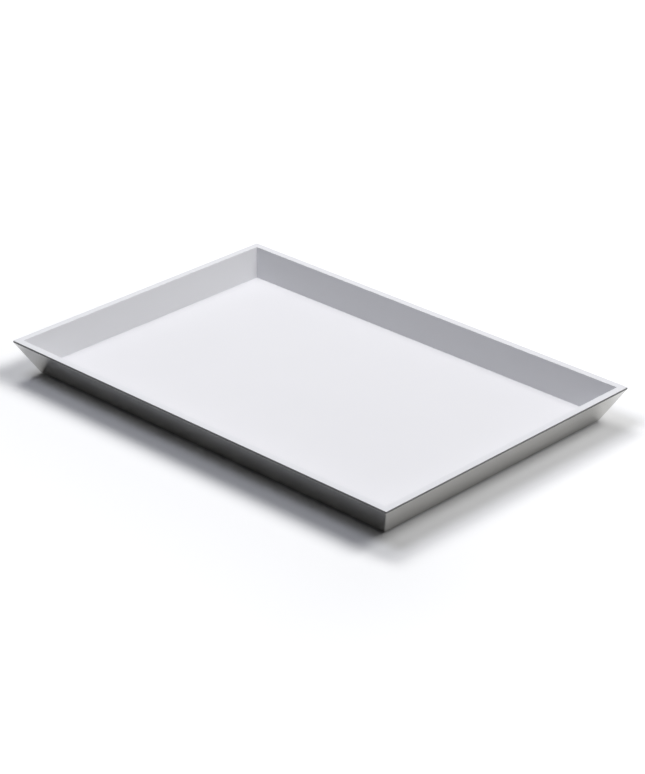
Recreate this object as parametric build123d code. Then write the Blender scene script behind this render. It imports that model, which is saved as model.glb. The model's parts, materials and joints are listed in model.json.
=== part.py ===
"""Shallow rectangular serving tray with four flared, mitred sides.

Each side is a leaning board with a thin metal facing glued to its outside. The facing turns upright at
the rim. The boards meet in mitres, each locked by a hidden loose spline, and hold the base panel by its
tongue, which sits in their grooves. Four stick-on pads under the panel carry the tray.

Frame: +X along the long sides, +Y to the back, +Z up. The origin is on the surface that the tray stands
on, under the middle of the tray. All sizes are in millimetres.
"""

from build123d import *
from math import cos, radians, tan
import os

# Overall
tray_length = 460.0  # over the rim, along X
tray_width = 311.0  # over the rim, along Y
wall_height = 32.0  # from the walls' foot to the rim
wall_lean = 29.0  # degrees that each wall leans outwards from upright

# Walls and their facings
board_thickness = 6.0  # square to the board's face
facing_thickness = 0.8
rim_land = 1.8  # height of the facing's upright band at the rim
rim_inner_radius = 0.5  # softened inner edge of the rim
rim_outer_radius = 0.3  # softened outer edge of the rim
corner_radius = 0.6  # softened outer corners of the facings

# Base panel
panel_thickness = 6.0
panel_recess = 1.8  # from the walls' foot up to the panel's underside
tongue_thickness = 2.5
tongue_reach = 2.8  # how far the tongue goes into the wall, at its top edge
tongue_clearance = 0.05  # glue gap on every side of the tongue

# Corner splines
spline_width = 7.5  # across the mitre, half in each board
spline_thickness = 1.6
spline_below_rim = 6.0
spline_above_floor = 2.0
spline_from_inside = 2.2  # level distance from the walls' inner faces to the spline's middle
spline_clearance = 0.05  # glue gap on every side of a spline

# Pads
pad_diameter = 12.0
pad_projection = 1.0  # how far the pads stand out below the walls' foot
pad_edge_radius = 0.8
pad_inset = 24.0  # from the edges of the panel's underside to a pad's middle

# Levels
foot_z = pad_projection
rim_z = foot_z + wall_height
panel_bottom_z = foot_z + panel_recess
floor_z = panel_bottom_z + panel_thickness
land_z = rim_z - rim_land
tongue_bottom_z = panel_bottom_z + (panel_thickness - tongue_thickness) / 2
tongue_top_z = tongue_bottom_z + tongue_thickness

# Slope of the walls, and level thicknesses through them
slope = tan(radians(wall_lean))
upright_share = cos(radians(wall_lean))
facing_level = facing_thickness / upright_share
board_level = board_thickness / upright_share

half_length = tray_length / 2
half_width = tray_width / 2

# The direction that each side faces, and the quarter of the plan that each corner is in
SIDES = {
    "front": (0, -1),
    "back": (0, 1),
    "left": (-1, 0),
    "right": (1, 0),
}
CORNERS = {
    "front_left": (-1, -1),
    "front_right": (1, -1),
    "back_left": (-1, 1),
    "back_right": (1, 1),
}


def outer_in(z):
    """How far inside the rim's outer edge the facings' leaning face lies at height z."""
    return (land_z - z) * slope


def board_out_in(z):
    """The same for the leaning outer face of the boards."""
    return outer_in(z) + facing_level


def board_inner_in(z):
    """The same for the inner face of the boards."""
    return outer_in(z) + facing_level + board_level


def core_bend_z():
    """Height where the boards' outer face turns upright, under the facing's band."""
    return land_z + (facing_level - facing_thickness) / slope


def box_between(low, high):
    """A box from its lowest to its highest corner."""
    size = [b - a for a, b in zip(low, high)]
    return Pos(*low) * Box(*size, align=(Align.MIN, Align.MIN, Align.MIN))


def frustum(low_z, high_z, inset):
    """The leaning four-sided block whose sides lie inset(z) inside the rim's outer edge."""
    levels = [
        Pos(0, 0, z) * Rectangle(tray_length - 2 * inset(z), tray_width - 2 * inset(z))
        for z in (low_z, high_z)
    ]
    return loft(levels, ruled=True)


def side_profile(points, softened):
    """A closed outline in a wall's cross-section, through points given as (distance outward, height).
    softened gives the radius at some of the points, by their place in the list."""
    outline = make_face(Polyline(*points, close=True))
    for place, radius in softened.items():
        corner = outline.vertices().sort_by_distance((*points[place], 0))[0]
        outline = fillet(corner, radius)
    return outline


def side_frame(side):
    """A side's outward direction, the rim's distance from the tray's middle there, and half its length."""
    dx, dy = SIDES[side]
    half_extent, half_run = (half_length, half_width) if dx else (half_width, half_length)
    return Vector(dx, dy, 0), half_extent, half_run


def run_along(profile_at, side):
    """One side's wall or facing, mitred at both ends. profile_at makes its cross-section from the rim's
    distance from the tray's middle."""
    outward, half_extent, half_run = side_frame(side)
    along = outward.cross(Vector(0, 0, 1))
    start = Plane(origin=along * -half_run, x_dir=outward, z_dir=along)
    return extrude(start * profile_at(half_extent), 2 * half_run) & mitre_wedge(side)


def mitre_wedge(side):
    """The upright prism between the mitre planes at a side's two ends. It is deeper and taller than the
    wall that it trims."""
    outward, half_extent, half_run = side_frame(side)
    near, far = half_extent - board_inner_in(0), 2 * half_extent
    near_half, far_half = near + half_run - half_extent, far + half_run - half_extent
    corners = [(near, -near_half), (far, -far_half), (far, far_half), (near, near_half)]
    plan = Plane(origin=(0, 0, 0), x_dir=outward, z_dir=(0, 0, 1))
    return extrude(plan * make_face(Polyline(*corners, close=True)), 2 * rim_z)


def board_profile(half_extent):
    """Cross-section of a wall board."""
    points = [
        (half_extent - board_inner_in(foot_z), foot_z),
        (half_extent - board_out_in(foot_z), foot_z),
        (half_extent - facing_thickness, core_bend_z()),
        (half_extent - facing_thickness, rim_z),
        (half_extent - board_inner_in(rim_z), rim_z),
    ]
    return side_profile(points, {4: rim_inner_radius})


def facing_profile(half_extent):
    """Cross-section of a facing: it leans with the board and turns upright at the rim."""
    points = [
        (half_extent - board_out_in(foot_z), foot_z),
        (half_extent - outer_in(foot_z), foot_z),
        (half_extent, land_z),
        (half_extent, rim_z),
        (half_extent - facing_thickness, rim_z),
        (half_extent - facing_thickness, core_bend_z()),
    ]
    return side_profile(points, {3: rim_outer_radius})


def tongue_plate(clearance):
    """The plate whose edge is the base panel's tongue, grown by clearance for the groove."""
    inset = board_inner_in(tongue_top_z) - tongue_reach - clearance
    reach_x, reach_y = half_length - inset, half_width - inset
    low = (-reach_x, -reach_y, tongue_bottom_z - clearance)
    high = (reach_x, reach_y, tongue_top_z + clearance)
    return box_between(low, high)


def spline_block(corner, clearance):
    """The loose spline of one corner, grown by clearance for its slot."""
    sx, sy = CORNERS[corner]
    low_z = floor_z + spline_above_floor
    high_z = rim_z - spline_below_rim
    middle_z = (low_z + high_z) / 2
    inset = board_inner_in(middle_z) - spline_from_inside
    middle = Vector(sx * (half_length - inset), sy * (half_width - inset), middle_z)
    up_the_corner = Vector(sx * slope, sy * slope, 1)
    across_the_mitre = Vector(sx, -sy, 0)
    length = (high_z - low_z) * up_the_corner.length
    block = Box(
        spline_width + 2 * clearance,
        spline_thickness + 2 * clearance,
        length + 2 * clearance,
    )
    return Plane(origin=middle, x_dir=across_the_mitre, z_dir=up_the_corner) * block


def eased_envelope():
    """The tray's outer shape with its four outer corners softened, which trims the facings."""
    levels = [
        Pos(0, 0, z) * RectangleRounded(tray_length - 2 * inset, tray_width - 2 * inset, corner_radius)
        for z, inset in ((foot_z, outer_in(foot_z)), (land_z, 0))
    ]
    band = extrude(levels[1], rim_land)
    return loft(levels, ruled=True) + band


def make_boards():
    """The four wall boards, grooved for the panel's tongue and slotted for the splines."""
    groove = tongue_plate(tongue_clearance)
    slots = [spline_block(corner, spline_clearance) for corner in CORNERS]
    return {f"{side}_wall": run_along(board_profile, side) - groove - slots for side in SIDES}


def make_facings():
    """The four metal facings."""
    envelope = eased_envelope()
    return {f"{side}_facing": run_along(facing_profile, side) & envelope for side in SIDES}


def make_base_panel():
    """The base panel: its edges lean with the walls, and its tongue runs all round."""
    return {"base_panel": frustum(panel_bottom_z, floor_z, board_inner_in) + tongue_plate(0)}


def make_splines():
    """The loose splines, one in each mitre."""
    return {f"corner_spline_{corner}": spline_block(corner, 0) for corner in CORNERS}


def make_pads():
    """The stick-on pads under the base panel."""
    inset = board_inner_in(panel_bottom_z) + pad_inset
    blank = Cylinder(pad_diameter / 2, panel_bottom_z, align=(Align.CENTER, Align.CENTER, Align.MIN))
    pad = fillet(blank.edges().sort_by(Axis.Z)[0], pad_edge_radius)
    return {
        f"foot_pad_{corner}": Pos(sx * (half_length - inset), sy * (half_width - inset), 0) * pad
        for corner, (sx, sy) in CORNERS.items()
    }


def main():
    os.makedirs("parts", exist_ok=True)
    for make in (make_base_panel, make_boards, make_facings, make_splines, make_pads):
        for name, shape in make().items():
            export_step(shape, f"parts/{name}.step")


main()
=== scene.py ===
"""Looks, light and camera for a shallow two-tone serving tray.

Every piece of the tray is a CAD node and stays as it is; this script gives each one its surface. The
walls, the rim and the floor of the tray are satin white lacquer, and the walls and the rim take a darker,
bluer copy of it as painted shade. The outer faces are satin silver metal, whose upright band under the
rim is a dark matt grey that is a painted dark reflection. All lengths are in metres.
"""

import json
import math

import bpy
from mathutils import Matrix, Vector


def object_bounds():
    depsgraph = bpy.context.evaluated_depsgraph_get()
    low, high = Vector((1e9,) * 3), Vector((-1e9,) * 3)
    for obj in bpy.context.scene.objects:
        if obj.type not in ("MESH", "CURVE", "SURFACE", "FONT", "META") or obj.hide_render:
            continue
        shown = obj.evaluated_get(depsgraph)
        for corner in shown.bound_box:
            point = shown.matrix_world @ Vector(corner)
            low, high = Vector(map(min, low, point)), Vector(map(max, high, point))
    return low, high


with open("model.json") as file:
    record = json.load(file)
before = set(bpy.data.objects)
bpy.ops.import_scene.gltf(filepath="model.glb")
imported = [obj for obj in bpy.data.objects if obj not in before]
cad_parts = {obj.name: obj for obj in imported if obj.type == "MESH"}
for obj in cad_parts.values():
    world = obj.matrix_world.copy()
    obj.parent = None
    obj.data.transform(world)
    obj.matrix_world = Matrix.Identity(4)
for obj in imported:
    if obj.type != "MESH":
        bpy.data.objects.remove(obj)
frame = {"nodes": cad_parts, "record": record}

MM = 0.001
cad_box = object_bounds()


# ---------------------------------------------------------------- node helpers


class Nodes:
    """Short ways to add nodes to a node tree."""

    def __init__(self, tree):
        self.tree = tree

    def feed(self, socket, value):
        """Links an output to a socket, or sets the socket's value."""
        if isinstance(value, bpy.types.NodeSocket):
            self.tree.links.new(value, socket)
        else:
            socket.default_value = value

    def feed_named(self, node, inputs):
        """Feeds a node's sockets. The names have underscores for spaces."""
        for name, value in inputs.items():
            self.feed(node.inputs[name.replace("_", " ")], value)

    def node(self, kind, settings=None, **inputs):
        """A new node of that kind. An input is a value or another node's output."""
        made = self.tree.nodes.new("ShaderNode" + kind)
        for name, value in (settings or {}).items():
            setattr(made, name, value)
        self.feed_named(made, inputs)
        return made

    def combine(self, operation, *values, kind="Math", output=0):
        """The output of a Math or VectorMath node. Each value is a constant or another node's output."""
        made = self.node(kind, {"operation": operation})
        for socket, value in zip(made.inputs, values):
            self.feed(socket, value)
        return made.outputs[output]


class Shader(Nodes):
    """A node material with a Principled shader."""

    def __init__(self, name):
        self.material = bpy.data.materials.new(name)
        self.material.use_nodes = True
        super().__init__(self.material.node_tree)

    def set(self, **inputs):
        """Feeds the Principled shader's inputs, and returns the material."""
        self.feed_named(self.tree.nodes["Principled BSDF"], inputs)
        return self.material

    def places(self, along=1.0, up=1.0):
        """The point on the piece, in metres, scaled along the ground and up. A scale below 1 stretches the
        noise that way."""
        where = self.node("TexCoord").outputs["Object"]
        return self.node("Mapping", Vector=where, Scale=(along, along, up)).outputs["Vector"]

    def noise(self, feature, places=None, detail=2.0):
        """Noise from 0 to 1 whose features are about that size, in metres."""
        places = places or self.places()
        return self.node("TexNoise", Vector=places, Scale=1 / feature, Detail=detail).outputs["Fac"]

    def spread(self, value, low, high, start=0.0, end=1.0):
        """value from start to end, turned into low to high."""
        made = self.node("MapRange", Value=value, From_Min=start, From_Max=end, To_Min=low, To_Max=high)
        return made.outputs["Result"]

    def facing_up(self, start, end):
        """0 to 1 as the upward part of the surface's normal goes from start to end."""
        normal = self.node("TexCoord").outputs["Normal"]
        return self.spread(self.node("SeparateXYZ", Vector=normal).outputs["Z"], 0.0, 1.0, start, end)

    def tint(self, share, first, second):
        """A colour from first, where share is 0, to second, where it is 1."""
        made = self.node("Mix", {"data_type": "RGBA"}, Factor=share)
        colours = [socket for socket in made.inputs if socket.type == "RGBA"]
        self.feed(colours[0], first)
        self.feed(colours[1], second)
        return next(socket for socket in made.outputs if socket.type == "RGBA")

    def bump(self, height, depth, **under):
        """The shading normal of a surface that rises by depth, in metres, where height is 1. under may give
        the Normal that it rises from."""
        return self.node("Bump", Height=height, Distance=depth, Strength=1.0, **under).outputs["Normal"]


def grey(level, tint=(1.0, 1.0, 1.0)):
    """A grey of that level, multiplied by the tint."""
    return (*(level * part for part in tint), 1.0)


# ------------------------------------------------------------------- materials

PANEL_WHITE = (0.848, 0.841, 0.860, 1.0)
PANEL_ROUGHNESS = 0.50
# The frame's white is a darker, bluer copy of the panel's: painted shade on the walls and rim.
FRAME_WHITE_PAINTED_SHADE = (0.820, 0.820, 0.842, 1.0)
FRAME_ROUGHNESS = 0.40
ROUGHNESS_VARIATION = 0.04
CLOUD_SIZE = 60 * MM
CLOUD_GREY = grey(0.5)
CLOUD_SHARE = 0.03
PEEL_SIZE = 1.6 * MM
PEEL_DEPTH = 0.006 * MM
NIB_SIZE = 0.35 * MM
NIB_DEPTH = 0.0008 * MM


def lacquer(name, white, roughness):
    """Satin white spray lacquer: a faint orange peel, and film thickness that varies a little."""
    shader = Shader(name)
    clouds = shader.noise(CLOUD_SIZE, detail=3.0)
    peel = shader.noise(PEEL_SIZE, detail=1.0)
    nibs = shader.noise(NIB_SIZE, detail=0.0)
    return shader.set(
        Base_Color=shader.tint(shader.spread(clouds, 0.0, CLOUD_SHARE), white, CLOUD_GREY),
        Roughness=shader.spread(clouds, roughness - ROUGHNESS_VARIATION, roughness + ROUGHNESS_VARIATION),
        Normal=shader.bump(nibs, NIB_DEPTH, Normal=shader.bump(peel, PEEL_DEPTH)),
    )


SILVER_TINT = (1.0, 0.99, 0.96)
SILVER_DARK = grey(0.57, SILVER_TINT)
SILVER_LIGHT = grey(0.63, SILVER_TINT)
SILVER_ROUGHNESS = (0.13, 0.16)
SILVER_CLOUD_SIZE = 35 * MM
STREAK_SIZE = 4 * MM
GRAIN_SIZE = 0.25 * MM
GRAIN_DEPTH = 0.0012 * MM
# The band's dark grey is painted: it stands in for a dark reflection on the metal.
BAND_PAINTED_REFLECTION_GREY = grey(0.14)
BAND_EXTRA_ROUGHNESS = 0.3
# The upward part of the normal where the leaning face turns into the band, and the band into the top edge
LEAN_TO_BAND = (-0.35, -0.15)
BAND_TO_TOP = (0.45, 0.75)


def silver():
    """Satin silver with a fine grain along the side. The upright band under the rim is matt dark grey, the
    same on all four sides, as a painted dark reflection; the top edge has the white of the rim."""
    shader = Shader("silver_facing")
    grain = shader.noise(GRAIN_SIZE, shader.places(along=0.02), detail=3.0)
    streaks = shader.noise(STREAK_SIZE, shader.places(along=0.05), detail=2.0)
    clouds = shader.noise(SILVER_CLOUD_SIZE, detail=2.0)
    # Mask of the upright band, where the dark grey painted reflection goes.
    painted_reflection_band = shader.facing_up(*LEAN_TO_BAND)
    on_top = shader.facing_up(*BAND_TO_TOP)
    metal = shader.tint(streaks, SILVER_DARK, SILVER_LIGHT)
    metal_roughness = shader.spread(clouds, *SILVER_ROUGHNESS)
    extra_roughness = shader.spread(painted_reflection_band, 0.0, BAND_EXTRA_ROUGHNESS)
    return shader.set(
        Base_Color=shader.tint(on_top, shader.tint(painted_reflection_band, metal, BAND_PAINTED_REFLECTION_GREY), FRAME_WHITE_PAINTED_SHADE),
        Metallic=shader.spread(painted_reflection_band, 1.0, 0.0),
        Roughness=shader.combine("ADD", metal_roughness, extra_roughness),
        Normal=shader.bump(grain, GRAIN_DEPTH),
    )


BEECH_DARK = (0.50, 0.33, 0.19, 1.0)
BEECH_LIGHT = (0.72, 0.53, 0.34, 1.0)
BEECH_ROUGHNESS = 0.7
FIBRE_SIZE = 0.8 * MM
FIBRE_DEPTH = 0.02 * MM


def spline_wood():
    """Raw beech, with its grain up the spline."""
    shader = Shader("spline_wood")
    fibres = shader.noise(FIBRE_SIZE, shader.places(up=0.1), detail=4.0)
    return shader.set(
        Base_Color=shader.tint(fibres, BEECH_DARK, BEECH_LIGHT),
        Roughness=BEECH_ROUGHNESS,
        Normal=shader.bump(fibres, FIBRE_DEPTH),
    )


RUBBER_DARK = grey(0.018)
RUBBER_LIGHT = grey(0.035)
RUBBER_ROUGHNESS = (0.68, 0.82)
RUBBER_SPECULAR = 0.3
TEXTURE_SIZE = 0.3 * MM
TEXTURE_DEPTH = 0.01 * MM


def pad_rubber():
    """Moulded dark rubber with a fine matt texture."""
    shader = Shader("pad_rubber")
    texture = shader.noise(TEXTURE_SIZE, detail=2.0)
    return shader.set(
        Base_Color=shader.tint(texture, RUBBER_DARK, RUBBER_LIGHT),
        Roughness=shader.spread(texture, *RUBBER_ROUGHNESS),
        Specular_IOR_Level=RUBBER_SPECULAR,
        Normal=shader.bump(texture, TEXTURE_DEPTH),
    )


def dress_nodes():
    """Gives each CAD node a material by its slot in the record. The base panel's lacquer is its own copy,
    less glossy and a little paler than the frame's, whose darker, bluer white is painted shade on the walls
    and rim."""
    made = {
        "white_lacquer": lacquer("white_lacquer", FRAME_WHITE_PAINTED_SHADE, FRAME_ROUGHNESS),
        "silver_facing": silver(),
        "spline_wood": spline_wood(),
        "pad_rubber": pad_rubber(),
    }
    slots = {part["node"]: part["material_slot"] for part in frame["record"]["subparts"]}
    for name, piece in frame["nodes"].items():
        piece.data.materials.clear()
        piece.data.materials.append(made[slots[name]])
    panel = frame["nodes"]["base_panel"]
    panel.data.materials[0] = lacquer("panel_lacquer", PANEL_WHITE, PANEL_ROUGHNESS)


# ------------------------------------------------------------- floor and world

WHITE = grey(1.0)
FLOOR_SIZE = 12.0
FLOOR_COLOUR = grey(0.90)
FLOOR_ROUGHNESS = 0.9
# The floor's glow starts and is full this far outside the tray's box, and grows with the distance
GLOW_START = 4 * MM
GLOW_FULL = 34 * MM
GLOW = 0.2
GLOW_PER_METRE = 0.8
AMBIENT_COLOUR = (0.96, 0.98, 1.0, 1.0)
AMBIENT_STRENGTH = 0.02


def seen_rays(nodes):
    """1 for the rays that show a surface directly, in a mirror or through glass, and 0 for the rays that
    carry light on from a matt surface."""
    path = nodes.node("LightPath")
    seen = path.outputs["Is Camera Ray"]
    for name in ("Is Glossy Ray", "Is Transmission Ray"):
        seen = nodes.combine("MAXIMUM", seen, path.outputs[name])
    straight = nodes.combine("LESS_THAN", path.outputs["Diffuse Depth"], 0.5)
    return nodes.combine("MULTIPLY", seen, straight)


def distance_outside_box(shader):
    """How far a point of the floor is outside the tray's box, in metres, and 0 under the tray."""
    half = ((cad_box[1] - cad_box[0]) / 2).xy.to_3d()
    place = shader.node("TexCoord").outputs["Object"]
    place = shader.combine("ABSOLUTE", place, kind="VectorMath")
    place = shader.combine("SUBTRACT", place, half, kind="VectorMath")
    place = shader.combine("MAXIMUM", place, Vector(), kind="VectorMath")
    return shader.combine("LENGTH", place, kind="VectorMath", output="Value")


def make_floor():
    """A plain pale floor. Away from the tray it glows just enough to be seen as white, and round the tray it
    keeps the shadow. The glow lights nothing matt."""
    bpy.ops.mesh.primitive_plane_add(size=FLOOR_SIZE)
    floor = bpy.context.object
    floor.name = "floor"
    shader = Shader("floor")
    distance = distance_outside_box(shader)
    ramp = {"interpolation_type": "SMOOTHSTEP"}
    away = shader.node("MapRange", ramp, Value=distance, From_Min=GLOW_START, From_Max=GLOW_FULL)
    glow = shader.combine("MULTIPLY_ADD", distance, GLOW_PER_METRE, GLOW)
    glow = shader.combine("MULTIPLY", glow, away.outputs["Result"])
    glow = shader.combine("MULTIPLY", glow, seen_rays(shader))
    material = shader.set(
        Base_Color=FLOOR_COLOUR,
        Roughness=FLOOR_ROUGHNESS,
        Specular_IOR_Level=0.0,
        Emission_Color=WHITE,
        Emission_Strength=glow,
    )
    floor.data.materials.append(material)


def make_world():
    """Faint light from all round, with white where it is seen."""
    world = bpy.data.worlds.new("studio")
    world.use_nodes = True
    bpy.context.scene.world = world
    nodes = Nodes(world.node_tree)
    ambient = nodes.tree.nodes["Background"]
    nodes.feed_named(ambient, {"Color": AMBIENT_COLOUR, "Strength": AMBIENT_STRENGTH})
    white = nodes.node("Background", Color=WHITE, Strength=1.0)
    mix = nodes.node("MixShader")
    for socket, source in zip(mix.inputs, (seen_rays(nodes), ambient.outputs[0], white.outputs[0])):
        nodes.feed(socket, source)
    nodes.feed(nodes.tree.nodes["World Output"].inputs["Surface"], mix.outputs[0])


# ------------------------------------------------------------ lamps and camera


def direction(azimuth, elevation):
    """The unit vector that many degrees round from +X towards +Y, and above the floor."""
    around, above = math.radians(azimuth), math.radians(elevation)
    level = math.cos(above)
    return Vector((math.cos(around) * level, math.sin(around) * level, math.sin(above)))


def soft_lamp(name, azimuth, elevation, distance, size, share, colour=(1.0, 1.0, 1.0)):
    """A square lamp aimed at the tray, from that direction. share is the part of a plain white level that it
    gives to a level surface there."""
    towards = direction(azimuth, elevation)
    data = bpy.data.lights.new(name, "AREA")
    data.size = size
    data.energy = share * (math.pi * distance) ** 2 / towards.z
    data.color = colour
    lamp = bpy.data.objects.new(name, data)
    lamp.location = towards * distance
    lamp.rotation_euler = towards.to_track_quat("Z", "Y").to_euler()
    bpy.context.scene.collection.objects.link(lamp)


def make_lamps():
    """Four softboxes overhead: three behind the tray and to its right, and a cool one at the front left."""
    near = {"elevation": 50, "distance": 2.2, "size": 0.7}
    far = {"elevation": 70, "distance": 3.2, "size": 1.3}
    soft_lamp("back_left_softbox", 150, share=0.27, **near)
    soft_lamp("back_right_softbox", 60, share=0.26, **near)
    soft_lamp("right_softbox", 30, share=0.16, **near)
    soft_lamp("front_left_softbox", 210, share=0.21, colour=(0.95, 0.98, 1.10), **far)


CAMERA_AZIMUTH = 43.95
CAMERA_ELEVATION = 26.33
CAMERA_DISTANCE = 2.346
CAMERA_TARGET = Vector((-8.4 * MM, 18.7 * MM, 0))
LENS_MM = 121
SENSOR_MM = 36
CLIP_END = 100


def make_camera():
    """A long lens from the front right, looking down on the tray. Its azimuth is from -Y towards +X."""
    back = direction(CAMERA_AZIMUTH - 90, CAMERA_ELEVATION)
    data = bpy.data.cameras.new("camera")
    data.lens = LENS_MM
    data.sensor_width = SENSOR_MM
    data.clip_end = CLIP_END
    camera = bpy.data.objects.new("camera", data)
    camera.location = CAMERA_TARGET + back * CAMERA_DISTANCE
    camera.rotation_euler = back.to_track_quat("Z", "Y").to_euler()
    bpy.context.scene.collection.objects.link(camera)
    bpy.context.scene.camera = camera


# ------------------------------------------------------------------------ main


bpy.context.scene.view_settings.view_transform = "Standard"
dress_nodes()
make_floor()
make_world()
make_lamps()
make_camera()
